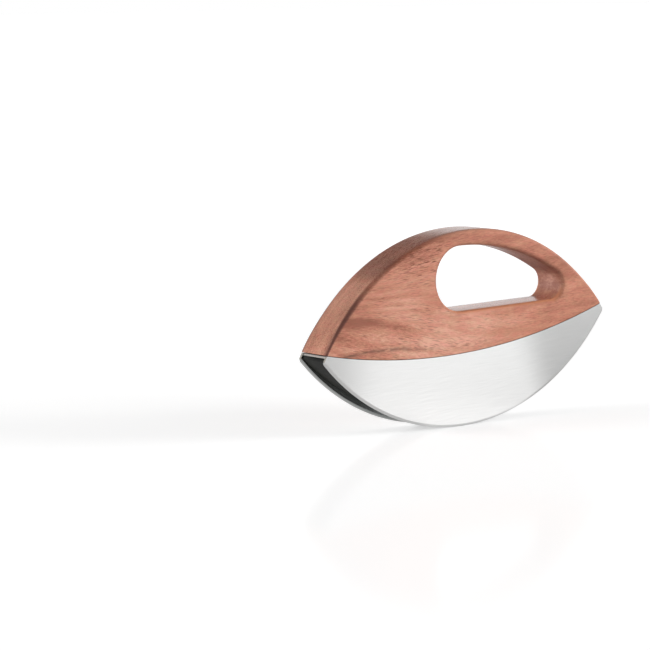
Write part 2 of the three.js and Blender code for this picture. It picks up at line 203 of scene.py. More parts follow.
def shares_of(part, first):
    """Where along a part of the outside its samples lie: its own and those of the hole at the same angles."""
    span = bearing(part, first)[[0, -1]]
    own = spread(part, first)
    holes = spread(hole_outline(HOLE_ROUND), 0.0)
    holes = np.concatenate([holes, holes + 2 * np.pi])
    both = np.concatenate([own, holes[(holes > span[0]) & (holes < span[1])]])
    shares = np.unique(np.round((both - span[0]) / (span[1] - span[0]), 5))
    kept = np.concatenate([[True], np.diff(shares) > LEAST_STEP])
    return shares[kept]


face_edge, _ = above_seam(outline - outline_normal * outline_round[:, None], outline_round)
TOP_SHARES = shares_of(face_edge, 0.0)
TOP_SHARES[-1] = 1.0
UNDER_SHARES = shares_of(seam_outline(face_edge[-1], face_edge[0]), np.pi)[1:-1]


def handle_rings():
    """Half of the handle, front face towards -y, as rings from the middle of the hole's wall across its
    round-over, the flat face and the outer round-over to the middle of the outer wall. A round-over of
    radius r at angle a lies r(1 - sin a) inside the wall and r(1 - cos a) behind the face."""
    turns = np.radians(np.linspace(0, 90, 9))
    face, _, angles = outer_ring(1.0)
    rings, near_edge, on_outside, in_hole = [], [], [], []

    def add(points, y, edge=0.0, outside=0.0, inside=0.0):
        count = len(points)
        rings.append(np.stack([points[:, 0], np.broadcast_to(y, count), points[:, 1]], axis=-1))
        for store, value in ((near_edge, edge), (on_outside, outside), (in_hole, inside)):
            store.append(np.full(count, value))

    def hole_ring(outset):
        whole = hole_outline(outset)
        known = bearing(whole, 0.0)
        wrapped = known[0] + (angles - known[0]) % (2 * np.pi)
        return np.stack([np.interp(wrapped, known, column) for column in whole.T], axis=-1)

    wall = HALF_THICK - HOLE_ROUND
    for y in (0.0, -wall / 3, -2 * wall / 3):
        add(hole_ring(0.0), y, inside=1.0)
    for turn in turns[::-1]:
        y = HOLE_ROUND * (1 - np.cos(turn)) - HALF_THICK
        add(hole_ring(HOLE_ROUND * (1 - np.sin(turn))), y, edge=np.sin(2 * turn), inside=np.sin(turn))
    rim = hole_ring(HOLE_ROUND)
    for share in np.linspace(0, 1, 8)[1:-1]:
        add(rim + share * (face - rim), -HALF_THICK)
    for turn in turns:
        points, radius, _ = outer_ring(1 - np.sin(turn))
        y = radius * (1 - np.cos(turn)) - HALF_THICK
        add(points, y, edge=np.sin(2 * turn), outside=np.sin(turn))
    wall_points, radius, _ = outer_ring(0.0)
    for share in (2 / 3, 1 / 3, 0):
        add(wall_points, -share * (HALF_THICK - radius), outside=1.0)
    return tuple(np.stack(store) for store in (rings, near_edge, on_outside, in_hole))


def both_sides(rows, flip=None):
    """A half from y = 0 to y = 0 and its mirror image behind, as one closed run of rows."""
    behind = rows[-2:0:-1]
    return np.concatenate([rows, behind if flip is None else behind * flip])


def grid_faces(rows, columns, wrap_rows, wrap_columns):
    """Quads between neighbouring points of a grid, row by row, closed round where asked."""
    row = np.arange(rows if wrap_rows else rows - 1)[:, None]
    column = np.arange(columns if wrap_columns else columns - 1)[None, :]
    next_row, next_column = (row + 1) % rows, (column + 1) % columns
    corners = [row * columns + column, next_row * columns + column,
               next_row * columns + next_column, row * columns + next_column]
    return np.stack(np.broadcast_arrays(*corners), axis=-1).reshape(-1, 4)


def keep_values(mesh, **values):
    """Keeps one number for each point of a mesh, under a name that its material reads."""
    for name, numbers in values.items():
        layer = mesh.attributes.new(name, "FLOAT", "POINT")
        layer.data.foreach_set("value", np.ravel(numbers).astype(np.float32))


def surface(name, points, faces, sharp_degrees=40.0, **values):
    """A mesh object from points in metres and faces, smooth except at edges sharper than given."""
    mesh = bpy.data.meshes.new(name)
    mesh.from_pydata(np.reshape(points, (-1, 3)), [], [list(face) for face in faces])
    mesh.polygons.foreach_set("use_smooth", np.ones(len(mesh.polygons), bool))
    mesh.set_sharp_from_angle(angle=np.radians(sharp_degrees))
    keep_values(mesh, **values)
    mesh.validate()
    mesh.update()
    piece = bpy.data.objects.new(name, mesh)
    bpy.context.scene.collection.objects.link(piece)
    return piece


def place_piece(piece, material, node):
    """Gives a new piece its material and puts it in place of the CAD node."""
    piece.data.materials.append(material)
    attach(piece, "root")
    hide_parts(node)


class Shade:
    """A socket of a material's node tree. Arithmetic on it adds Math nodes, and node() adds any other."""

    def __init__(self, tree, socket=None):
        self.tree = tree
        self.socket = socket

    def node(self, kind, inputs=None, output=0, stops=None, **settings):
        """A node by its type, its settings or its ramp's stops, and the values or links of its sockets."""
        made = self.tree.nodes.new("ShaderNode" + kind)
        for key, value in settings.items():
            setattr(made, key, value)
        if stops:
            ramp = made.color_ramp.elements
            while len(ramp) < len(stops):
                ramp.new(1.0)
            for element, (place, colour) in zip(ramp, stops):
                element.position = place
                element.color = colour
        for key, value in (inputs or {}).items():
            self.feed(made.inputs[key], value)
        return Shade(self.tree, made.outputs[output])

    def feed(self, socket, value):
        """Links a shade to a node's socket, or sets the socket's own value."""
        if isinstance(value, Shade):
            self.tree.links.new(value.socket, socket)
        else:
            socket.default_value = value

    def math(self, operation, *values):
        return self.node("Math", dict(enumerate(values)), operation=operation)

    def __add__(self, other):
        return self.math("ADD", self, other)

    def __sub__(self, other):
        return self.math("SUBTRACT", self, other)

    def __rsub__(self, other):
        return self.math("SUBTRACT", other, self)

    def __mul__(self, other):
        return self.math("MULTIPLY", self, other)

    def __truediv__(self, other):
        return self.math("DIVIDE", self, other)

    def __pow__(self, other):
        return self.math("POWER", self, other)

    def __abs__(self):
        return self.math("ABSOLUTE", self)

    __radd__ = __add__
    __rmul__ = __mul__

    def between(self, low, high):
        """0 where the value is at low, 1 at high, with a smooth step between."""
        return self.node("MapRange", {0: self, 1: low, 2: high}, interpolation_type="SMOOTHSTEP")

    def hump(self, middle, width):
        """A bell round a middle value: exp(-((value - middle) / width)^2)."""
        return self.math("EXPONENT", ((self - middle) / width) ** 2.0 * -1.0)

    def mixed(self, first, second):
        """The first colour where this value is 0 and the second where it is 1."""
        return self.node("Mix", {0: self, 6: first, 7: second}, 2, data_type="RGBA")

    def times(self, cast):
        """This colour times another."""
        inputs = {0: 1.0, 6: self, 7: cast}
        return self.node("Mix", inputs, 2, data_type="RGBA", blend_type="MULTIPLY")

    def parts(self):
        """The three numbers of a vector."""
        split = self.node("SeparateXYZ", {0: self}).socket.node
        return tuple(Shade(self.tree, socket) for socket in split.outputs)

    def vector(self, x, y, z):
        return self.node("CombineXYZ", {0: x, 1: y, 2: z})

    def noise(self, scale=1.0, detail=2.0, roughness=0.5):
        """Noise between 0 and 1 at this place."""
        inputs = {"Vector": self, "Scale": scale, "Detail": detail, "Roughness": roughness}
        return self.node("TexNoise", inputs)

    def bump(self, strength, distance):
        """The normal of a surface that this value raises by up to a distance in metres."""
        return self.node("Bump", {"Strength": strength, "Distance": distance, "Height": self})


def finish(name, **constants):
    """A new material, its shader node with the sockets that stay constant set, and a starting shade."""
    material = bpy.data.materials.new(name)
    material.use_nodes = True
    shader = material.node_tree.nodes["Principled BSDF"]
    for key, value in constants.items():
        shader.inputs[key.replace("_", " ")].default_value = value
    return material, shader, Shade(material.node_tree)


def level_place(start):
    """The place on the level knife in millimetres: Object coordinates, scaled, leaned back and shifted."""
    here = start.node("TexCoord", output="Object")
    back_x = -(STAND_X * np.cos(LEAN) + STAND_Z * np.sin(LEAN))
    back_z = STAND_X * np.sin(LEAN) - STAND_Z * np.cos(LEAN)
    inputs = {
        "Vector": here,
        "Location": (back_x, 0, back_z),
        "Rotation": (0, LEAN, 0),
        "Scale": (1 / MM,) * 3,
    }
    return start.node("Mapping", inputs, vector_type="POINT")


# Colours of the wood: its tones, two casts laid over them, the browns of its marks, its end grain and the
# painted shade on its edges and walls, and the colours of painted light on the crown's edge and the hole's
# rim.
WOOD_DEEP, WOOD_MIDDLE, WOOD_LIGHT = (0.31, 0.098, 0.056, 1), (0.55, 0.222, 0.14, 1), (0.75, 0.385, 0.28, 1)
ROSY_CAST, GOLDEN_CAST = (1.02, 0.92, 0.95, 1), (0.98, 1.08, 1.02, 1)
PORE_BROWN = (0.17, 0.055, 0.033, 1)
LINE_BROWN = (0.14, 0.056, 0.032, 1)
DASH_BROWN = (0.27, 0.085, 0.055, 1)
EDGE_SHADE_BROWN = (0.19, 0.058, 0.034, 1)
FOOT_SHADE_BROWN = (0.085, 0.038, 0.04, 1)
CROWN_BROWN = (0.1, 0.042, 0.036, 1)
CROWN_HIGHLIGHT = (0.82, 0.42, 0.31, 1)
HOLE_BROWN = (0.095, 0.026, 0.017, 1)
HOLE_PAINTED_GLINT = (0.72, 0.42, 0.33, 1)
RIM_LIT_ORANGE = (0.7, 0.285, 0.155, 1)

# The grain's slope at the left end, and the length over which it levels out.
GRAIN_FALL = 0.24
GRAIN_BEND = 30.0


def wood_flow(start, x, y, z):
    """The line of grain through a place, as a height, and how far the grain wanders there. The lines slope in
    the left half, less so higher up, and have a slow sway and a fine ripple."""
    fall = (x - (x * x + GRAIN_BEND**2) ** 0.5) * (GRAIN_FALL / 2)
    fan = 1.0 - 1.25 * z.between(12.0, 54.0)
    sway = start.vector(x / 70.0, y / 50.0, z / 30.0).noise(detail=1.0) - 0.5
    ripple = start.vector(x / 14.0, y / 20.0, z / 9.0).noise(detail=2.0) - 0.5
    return z + fall * fan + sway * 6.0 + ripple * 1.2, sway + ripple


def wood_grain(start, x, y, z, flow):
    """Patterns along the grain: bands of tone for the faces, plies for the walls, patches of tint, fine
    fibres, and short pores that lie in beds and crowd together left of the hole, under the crown."""

    def drawn_out(length, depth, height):
        return start.vector(x / length, y / depth, flow / height)

    bands = drawn_out(length=30.0, depth=9.0, height=5.0).noise(detail=2.0) - 0.5
    plies = drawn_out(length=30.0, depth=3.5, height=20.0).noise(detail=4.0, roughness=0.65) - 0.5
    tint = drawn_out(length=9.0, depth=6.0, height=2.5).noise(detail=3.0, roughness=0.65)
    fibres = drawn_out(length=3.2, depth=0.6, height=0.8).noise(detail=4.0, roughness=0.7) - 0.5
    pores = drawn_out(length=5.5, depth=0.5, height=0.5).noise(detail=1.0, roughness=0.4)
    beds = drawn_out(length=45.0, depth=10.0, height=6.0).noise(detail=1.0).between(0.35, 0.6)
    beds = beds * (0.3 + 0.3 * x.between(10.0, -20.0)) + 0.25
    cluster = x.hump(-34.0, 20.0) * z.hump(47.0, 8.0)
    pore = pores.between(0.54, 0.66) * (beds + cluster * 0.8)
    return bands, plies, tint, fibres, pore


def wood_figure(start, x, z, flow, wander, bands):
    """The plank's own marks: a reddish streak that curves down across the left half, under it a broken dark
    line with dashes along it and a pale line above, and stretches that are paler or darker. Returns the
    streak, the dark line, the dashes and the change of tone of the rest."""
    from_left = x + 92.8
    streak_line = z - 21.7 + from_left * 0.06 + from_left * from_left * 0.0035 + wander * 3.0
    streak = streak_line.between(2.4, -0.8) * streak_line.between(-8.5, -1.0) * x.between(-26.0, -76.0)

    line = z - 0.9 + x.between(-75.0, -20.0) * 4.6 + x.between(-20.0, 20.0) * 1.6 + wander * 4.0
    broken = start.vector(x / 5.0, 0.0, z / 2.0).noise(detail=2.0).between(0.28, 0.52)
    dark_line = line.hump(0.0, 1.0) * x.between(-8.0, -70.0) * broken
    dashes = start.vector(x / 3.5, 0.0, flow / 0.9).noise(detail=2.0).between(0.5, 0.62)
    dashes = dashes * line.hump(0.0, 2.4) * (x.hump(-4.0, 26.0) + x.hump(-74.0, 14.0))

    pale = line.hump(3.4, 2.6) * x.between(10.0, -40.0) * (bands + 0.5).between(0.35, 0.6) * 0.14
    pale = pale + x.hump(-16.0, 42.0) * z.hump(-1.0, 15.0) * 0.27
    pale = pale + x.hump(-55.0, 24.0) * z.hump(24.0, 11.0) * 0.1
    pale = pale + x.hump(79.0, 15.0) * z.hump(17.0, 10.0) * 0.2
    dark = x.between(10.0, 85.0) * (0.75 + 0.25 * z.between(2.0, 30.0)) * 0.26
    dark = dark + x.hump(-40.0, 20.0) * z.between(41.0, 50.0) * 0.3
    dark = dark + x.hump(20.0, 30.0) * z.between(42.0, 50.0) * 0.12
    dark = dark + x.between(-60.0, -95.0) * (0.08 + 0.08 * z.between(7.0, 14.0))
    return streak, dark_line, dashes, pale - dark


def edges_and_crown(colour, x, y, edge, outside):
    """Rounded edges that darken to the left with painted shade, most at the left foot, and the outer wall
    with dark margins above that foot, a painted shadow across it on the way up and a painted highlight
    along the crown's edge."""
    # Painted shade: the rounded edges are darkened, more to the left and most at the left foot, where less
    # light falls on them.
    colour = (edge * (0.04 + 0.36 * x.between(10.0, -40.0))).mixed(colour, EDGE_SHADE_BROWN)
    colour = (edge * 0.55 * x.between(-74.0, -88.0)).mixed(colour, FOOT_SHADE_BROWN)
    margin = abs(y).between(7.6, 10.2) * x.between(-66.0, -84.0)
    # Painted shadow: a stretch of the outer wall on the way up to the crown is darkened where a shadow falls
    # across it.
    painted_shadow_stretch = x.between(-73.0, -64.0) * x.between(-42.0, -58.0)
    colour = (outside * (margin * 0.5 + painted_shadow_stretch * 0.4)).mixed(colour, CROWN_BROWN)
    # Painted highlight: the rounded edge along the crown is lightened.
    return (edge * outside * x.between(-40.0, 0.0) * 0.5).mixed(colour, CROWN_HIGHLIGHT)


def hole_wall(colour, place, tint, edge, inside, end_grain, upward):
    """The hole's wall: deep brown except on its floor, deepest on end grain; apart from what the end grain
    has of its own, that brown is painted shade. At the narrow end it is mottled, darker towards the bottom,
    with a painted glint in the middle, and along the floor's rim it is orange with painted light."""
    x, y, z = place
    narrow_end = inside * end_grain * x.between(58.0, 68.0)
    # At the narrow end: random mottle, darker towards the bottom, and lighter in the middle round the painted
    # glint.
    mottle_and_highlight = tint.between(0.64, 0.4) * 0.2 + z.between(18.0, 13.0) * 0.2 - z.hump(22.0, 4.5) * 0.3
    # Painted shade: all of the wall but the upward-facing floor is darkened inside the hole, most on end
    # grain, whose extra darkness is its own.
    depth = inside * (0.22 + 0.48 * end_grain) * (1.0 - upward) + narrow_end * mottle_and_highlight
    colour = depth.mixed(colour, HOLE_BROWN)
    # Painted glint: a pale patch of specks in the middle of the narrow end.
    painted_glints = narrow_end * z.hump(21.5, 4.5) * y.hump(1.0, 7.0) * (0.4 + 0.6 * tint.between(0.4, 0.64))
    colour = (painted_glints * 0.65).mixed(colour, HOLE_PAINTED_GLINT)
    # Painted light: the rounded rim of the floor is lightened to orange.
    return (edge * inside * upward * 1.5).mixed(colour, RIM_LIT_ORANGE)


def oiled_wood():
    """Salmon-brown hardwood with the grain and figure above. Its tone is their weighted sum, and the sheen of
    the oil lies on the outer wall and on the floor and roof of the hole."""
    material, shader, start = finish("oiled_wood", IOR=1.5, Coat_Roughness=0.08)
    x, y, z = level_place(start).parts()
    edge, outside, inside, end_grain, upward = (
        start.node("Attribute", output="Fac", attribute_name=name)
        for name in ("near_edge", "on_outside", "in_hole", "end_grain", "upward"))
    wall = outside + inside
    flow, wander = wood_flow(start, x, y, z)
    bands, plies, tint, fibres, pore = wood_grain(start, x, y, z, flow)
    streak, dark_line, dashes, stretches = wood_figure(start, x, z, flow, wander, bands)

    lively = x.between(-20.0, -50.0) * (z.between(20.0, 8.0) + z.between(38.0, 46.0))
    tone = 0.54 + (1.0 - wall) * (bands * 0.75 - streak * 0.4) + wall * plies * 0.9
    tone = tone + fibres * (0.7 + 0.6 * lively) + stretches
    tones = [(0.1, WOOD_DEEP), (0.5, WOOD_MIDDLE), (0.9, WOOD_LIGHT)]
    colour = start.node("ValToRGB", {0: tone}, stops=tones)
    colour = colour.times(tint.between(0.3, 0.7).mixed(ROSY_CAST, GOLDEN_CAST))
    colour = (pore * 0.62).mixed(colour, PORE_BROWN)
    colour = (dark_line * 0.8).mixed(colour, LINE_BROWN)
    colour = (dashes * 0.5).mixed(colour, DASH_BROWN)
    colour = edges_and_crown(colour, x, y, edge, outside)
    colour = hole_wall(colour, (x, y, z), tint, edge, inside, end_grain, upward)
    start.feed(shader.inputs["Base Color"], colour)

    roughness = 0.38 - outside * 0.1 + inside * (0.2 + 0.15 * end_grain - 0.4 * upward)
    start.feed(shader.inputs["Roughness"], roughness + pore * 0.2 + fibres * 0.1)
    floor_sheen = upward * 0.22 * y.between(-8.0, 4.0)
    roof_sheen = (1.0 - upward) * (1.0 - end_grain) * x.between(66.0, 22.0) * y.between(-6.0, 5.0)
    sheen = outside.between(0.7, 1.0) * 0.47 + inside * (floor_sheen + roof_sheen)
    start.feed(shader.inputs["Coat Weight"], sheen)
    height = (fibres * 0.3 - pore) * (1.0 - wall * 0.75)
    start.feed(shader.inputs["Normal"], height.bump(strength=0.3, distance=0.0002))
    return material


rings, near_edge, on_outside, in_hole = handle_rings()
rings = both_sides(rings, flip=np.array([1.0, -1.0, 1.0]))
handle_grid = dict(near_edge=near_edge, on_outside=on_outside, in_hole=in_hole)
handle_grid = {key: both_sides(values) for key, values in handle_grid.items()}
handle = surface("wooden_handle", stand(rings), grid_faces(*rings.shape[:2], True, True), **handle_grid)
facing = np.empty(3 * len(handle.data.vertices))
handle.data.vertex_normals.foreach_get("vector", facing)
facing = facing.reshape(-1, 3)
end_grain = np.abs(facing @ (np.cos(LEAN), 0, np.sin(LEAN)))
keep_values(handle.data, end_grain=end_grain, upward=np.clip(facing[:, 2], 0, 1))
place_piece(handle, oiled_wood(), "handle")


# The threaded inserts: three brass sleeves, turned with a plain band at either end. They are pressed into
# blind bores in the underside of the wood, so that the screws have metal to bite into.

PLACES = ("left", "middle", "right")
BRASS = (0.7, 0.5, 0.22)


def plain_metal(name, colour, roughness):
    """Rolled or turned metal with a faint mottle of tone and gloss."""
    material, shader, start = finish(name, Metallic=1.0)
    mottle = level_place(start).noise(scale=0.8, detail=3.0)
    dull = tuple(0.8 * part for part in colour)
    start.feed(shader.inputs["Base Color"], mottle.mixed((*dull, 1), (*colour, 1)))
    start.feed(shader.inputs["Roughness"], roughness + (mottle - 0.5) * 0.2)
    return material


def dress(names, material):
    """Gives CAD pieces whose shape is already right their material."""
    for name in names:
        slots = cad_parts[name].data.materials
        slots.clear()
        slots.append(material)


dress(["insert_" + place for place in PLACES], plain_metal("turned_brass", BRASS, roughness=0.35))


# The seam gasket: a thin black sheet, die-cut to the shape of the wood's underside. The screws press it
# between the wood and the strip, and only its edges show.

def matt_black(name, tone, grain_scale):
    """Matt black with a fine, even grain and faint clouds, and with painted light that turns it to a dark
    grey towards the rear side, where the rear blade shades it.
    """
    material, shader, start = finish(name, Specular_IOR_Level=0.13)
    place = level_place(start)
    grain = place.noise(scale=grain_scale, detail=2.0)
    cloud = place.noise(scale=0.05, detail=1.0)
    # Painted light: the base grows up to five times lighter towards the rear side, against the shade of the
    # rear blade.
    clouds_and_painted_light = cloud * 0.12 + place.parts()[1].between(-4.0, 10.0)
    dark = (tone, tone * 1.04, tone * 0.9)
    painted_lit_grey = tuple(5.0 * part for part in dark)
    start.feed(shader.inputs["Base Color"], clouds_and_painted_light.mixed((*dark, 1), (*painted_lit_grey, 1)))
    start.feed(shader.inputs["Roughness"], 0.62 + (grain - 0.5) * 0.2)
    start.feed(shader.inputs["Normal"], grain.bump(strength=0.2, distance=0.00005))
    return material


dress(["seam_gasket"], matt_black("gasket_sheet", tone=0.012, grain_scale=1.2))


# The carrier strip: a plain band of rolled steel under the gasket, bent to the arc of the seam. Tabs folded
# down from it are spot-welded to the inner faces of both blades, and the screws pass through it.

ROLLED_STEEL = (0.66, 0.65, 0.64)

dress(["carrier_strip"], plain_metal("strip_steel", ROLLED_STEEL, roughness=0.35))


# The blades: two alike crescents of stainless sheet, flush with the faces of the wood. They are brushed
# along their length, and the cutting edge is ground from both faces to a narrow bevel.

EDGE_SAG = 52.8
BLADE_TOP_DROP = 0.24
BLADE_THICK = 1.6
BLADE_INSET = 0.9
BEVEL_WIDTH = 1.5
EDGE_LAND = 0.1
TIP_ROUND = 1.8
BREAK = 0.12
EDGE_RADIUS, EDGE_CENTRE = circle_through_tips(-EDGE_SAG)

# Samples along half a crescent: closer ones over a stretch at the tip, then even ones to the middle.
TIP_STRETCH, TIP_STEPS, EVEN_STEPS = 6.0, 30, 170

# Least and greatest share of the way from the seam to the edge at which the bevel may start.
SHOULDER_RANGE = 0.02, 0.995

# Tones of the brushing and of the painted shade on the inner faces, and the distances from the middle between
# which they change.
BRUSHED_DARK, BRUSHED_LIGHT = (0.525, 0.526, 0.522, 1), (0.605, 0.606, 0.602, 1)
INNER_SHADE_GREY = (0.34, 0.352, 0.346, 1)
INNER_SIDE = 10.65, 9.95


def circles_meet(first_z, first_radius, second_z, second_radius):
    """The right-hand point that two circles about the knife's middle line share."""
    z = (first_radius**2 - second_radius**2 + second_z**2 - first_z**2) / (2 * (second_z - first_z))
    return np.array([np.sqrt(first_radius**2 - (z - first_z) ** 2), z])


def crescent(drop, end_radius, lower_radius, lower_centre, tip_round):
    """Upper and lower edge of a crescent, both from left to right: the seam's arc, and the lower arc with a
    rounded tip at either end that also touches the end's arc."""
    corner = circles_meet(CROWN_CENTRE, end_radius, SEAM_LOW + SEAM_RADIUS, SEAM_RADIUS + drop)
    tip = circles_meet(CROWN_CENTRE, end_radius - tip_round, lower_centre, lower_radius - tip_round)
    tip_start = np.arctan2(tip[1] - CROWN_CENTRE, tip[0])
    tip_end = np.arctan2(tip[1] - lower_centre, tip[0])
    half_tip = arc(tip, tip_round, tip_start, tip_end, count=24)
    half_arc = arc((0, lower_centre), lower_radius, tip_end, -np.pi / 2, count=1500)
    bottom = np.concatenate([half_tip, half_arc[1:]])
    bottom = np.concatenate([bottom * (-1, 1), bottom[-2::-1]])
    travelled = np.concatenate([[0], np.cumsum(np.hypot(*np.diff(bottom, axis=0).T))])
    near_tip = np.linspace(0, TIP_STRETCH, TIP_STEPS, endpoint=False)
    samples = np.concatenate([near_tip, np.linspace(TIP_STRETCH, travelled[-1] / 2, EVEN_STEPS)])
    samples = np.concatenate([samples, travelled[-1] - samples[-2::-1]])
    lower = np.stack([np.interp(samples, travelled, column) for column in bottom.T], axis=-1)
    x = corner[0] * (2 * samples / samples[-1] - 1)
    upper = np.stack([x, seam(x, drop)], axis=-1)
    return upper, lower


def blade_loop(side):
    """A blade as a loop of rows round its section, each from tip to tip. A point at a distance rho from the
    edge arc's centre lies below the flat of its face by the slope of the grinding times its way past the
    shoulder; the outer upper edge is broken by a fine chamfer."""
    upper, lower = crescent(BLADE_TOP_DROP, CROWN_RADIUS - BLADE_INSET, EDGE_RADIUS, EDGE_CENTRE, TIP_ROUND)
    way = lower - upper
    length = np.hypot(*way.T)[:, None]
    rho = np.hypot(upper[:, 0], upper[:, 1] - EDGE_CENTRE)
    rho_low = np.hypot(lower[:, 0], lower[:, 1] - EDGE_CENTRE)
    shoulder = np.clip((EDGE_RADIUS - BEVEL_WIDTH - rho) / (rho_low - rho), *SHOULDER_RANGE)[:, None]
    slope = (BLADE_THICK - EDGE_LAND) / (2 * BEVEL_WIDTH)
    fine = BREAK / length

    def row(share, inside, sunk=0.0):
        flat = upper + share * way
        distance = np.hypot(flat[:, 0], flat[:, 1] - EDGE_CENTRE)
        ground = np.maximum(0, distance - (EDGE_RADIUS - BEVEL_WIDTH)) * slope + sunk
        y = side * (HALF_THICK - (BLADE_THICK - ground if inside else ground))
        return np.stack([flat[:, 0], y, flat[:, 1]], axis=-1)

    down = [fine + share * (shoulder - fine) for share in np.linspace(0, 1, 9)]
    down += [shoulder + share * (1 - shoulder) for share in (0.25, 0.5, 0.75, 1.0)]
    outer = [row(0 * fine, False, BREAK)] + [row(share, False) for share in down]
    inner = [row(share, True) for share in down[::-1]] + [row(0 * fine, True)]
    return np.stack(outer + inner)


def blade_steel():
    """Stainless sheet, brushed along its length, so that its gloss spreads across the brushing. Streaks of
    tone, gloss and height are stretched along x, and the inner faces are darker with painted shade between
    the blades."""
    material, shader, start = finish("blade_steel", Metallic=1.0, Anisotropic=1.0, Anisotropic_Rotation=0.25)
    x, y, z = level_place(start).parts()
    streaks = start.vector(x / 45.0, 0.0, z / 0.5).noise(detail=3.0, roughness=0.65)
    fine = start.vector(x / 14.0, 0.0, z / 0.16).noise(detail=1.0)
    tone = streaks.between(0.25, 0.75) * 0.5 + fine.between(0.3, 0.7) * 0.5
    brushed = tone.mixed(BRUSHED_DARK, BRUSHED_LIGHT)
    # Painted shade: the inner faces between the blades are darker.
    start.feed(shader.inputs["Base Color"], abs(y).between(*INNER_SIDE).mixed(brushed, INNER_SHADE_GREY))
    start.feed(shader.inputs["Roughness"], 0.17 + (streaks - 0.5) * 0.06)
    start.feed(shader.inputs["Normal"], fine.bump(strength=0.04, distance=0.0001))
    return material


def solid_faces(loop):
    """Faces of a closed loop of rows, with one face across either end."""
    rows, columns = loop.shape[:2]
    sides = grid_faces(rows, columns, True, False)
    ends = np.arange(rows)[::-1] * columns, np.arange(rows) * columns + columns - 1
    return [*sides, *ends]


# The rear blade's rows run the other way round, so that the faces of both point outwards.
steel = blade_steel()
for node, side in (("blade_front", -1), ("blade_rear", 1)):
    loop = blade_loop(side)[::-side]
    place_piece(surface("brushed_" + node, stand(loop), solid_faces(loop), 20.0), steel, node)


# The core: one hollow moulding of matt black plastic that fills the room between the blades under the strip.
# Its underside follows the cutting edges a little inside them, so that only the edges touch the worktop.

CORE_SETBACK = 6.4
CORE_TIP_SETBACK = 2.8
CORE_TIP_ROUND = 0.6
CORE_TOP_DROP = 2.0
CORE_INSET = 1.9
CORE_CHAMFER = 0.4
CORE_HALF = HALF_THICK - BLADE_THICK
CORE_RADIUS, CORE_CENTRE = circle_through_tips(CORE_SETBACK - EDGE_SAG, TIP_REACH - CORE_TIP_SETBACK)


def core_loop():
    """The core as a loop of rows round its section, each from tip to tip: flat sides against the blades, and
    an underside with a chamfer along both edges."""
    end_radius = CROWN_RADIUS - CORE_INSET
    upper, lower = crescent(CORE_TOP_DROP, end_radius, CORE_RADIUS, CORE_CENTRE, CORE_TIP_ROUND)
    way = lower - upper
    flank = np.maximum(0, 1 - CORE_CHAMFER / np.hypot(*way.T))[:, None]
    shares = (0, flank, 1, 1, flank, 0)
    flat = CORE_HALF - CORE_CHAMFER
    depths = (-CORE_HALF, -CORE_HALF, -flat, flat, CORE_HALF, CORE_HALF)
    return np.stack([np.insert(upper + share * way, 1, y, axis=1) for share, y in zip(shares, depths)])


plastic = matt_black("moulded_black", tone=0.0045, grain_scale=2.2)
loop = core_loop()
place_piece(surface("moulded_core", stand(loop), solid_faces(loop), 20.0), plastic, "core")


# The screws: three stainless cap screws, driven up through the bosses of the core and the strip into the
# inserts. They pull the whole blade unit against the wood.

STAINLESS = (0.6, 0.6, 0.6)

dress(["screw_" + place for place in PLACES], plain_metal("screw_steel", STAINLESS, roughness=0.35))


# The caps: three black plugs, moulded like the core, that are pressed into the bores under the screws' heads.
# Their faces carry on the core's underside, with a fine rounded rim.

SCREW_SPACING = 66.0
CAP_RADIUS = 3.8
CAP_DEPTH = 5.0
CAP_PROUD = 0.12
CAP_RIM_SUNK = 0.1
CAP_MIDDLE_RADIUS = 0.6
CAP_FACE_RADII = 1.2, 2.4, 3.3, 3.65


def cap_lines(middle):
    """A plug as lines from the middle of its face over the rim to its flat top, one for each turn about the
    axis of its screw. The face stands slightly proud of the core's underside and turns in at the rim."""
    turn = np.linspace(0, 2 * np.pi, 48, endpoint=False)[:, None]
    radius = np.array([CAP_MIDDLE_RADIUS, *CAP_FACE_RADII, CAP_RADIUS, CAP_RADIUS, CAP_MIDDLE_RADIUS])
    sunk = np.array([-CAP_PROUD] * 4 + [-CAP_PROUD / 2, CAP_RIM_SUNK])
    x = middle + radius * np.cos(turn)
    face = CORE_CENTRE - np.sqrt(CORE_RADIUS**2 - x[:, :len(sunk)] ** 2) + sunk
    top = np.full((len(turn), 2), CORE_CENTRE - np.sqrt(CORE_RADIUS**2 - middle**2) + CAP_DEPTH)
    return np.stack([x, radius * np.sin(turn), np.concatenate([face, top], axis=1)], axis=-1)


for place, middle in zip(PLACES, (-SCREW_SPACING, 0.0, SCREW_SPACING)):
    cap = cap_lines(middle)
    plug = surface("plug_" + place, stand(cap), solid_faces(cap))
    place_piece(plug, plastic, "cap_" + place)


# The studio: a white, faintly glossy floor that runs on to a low white background under a dark ceiling, two
# low and broad soft lamps, a warm card behind that only gloss shows, and the camera of the photograph.

FLOOR_HALF = 12.0
FLOOR_PAINT = (0.8, 0.8, 0.8, 1)
FLOOR_GLOSS = 0.13
FLOOR_ROUGHNESS = 0.12
FLOOR_GLOW = 0.625
MIRROR_GLOW = 0.44

# The light panel: its glow, its slant, and where its left, right and near sides rise to full, in metres.
PANEL_GLOW = 0.8
PANEL_TURN = np.radians(41.3)
PANEL_LEFT, PANEL_RIGHT, PANEL_NEAR = (-0.094, -0.062), (0.052, 0.030), (0.0095, 0.0165)


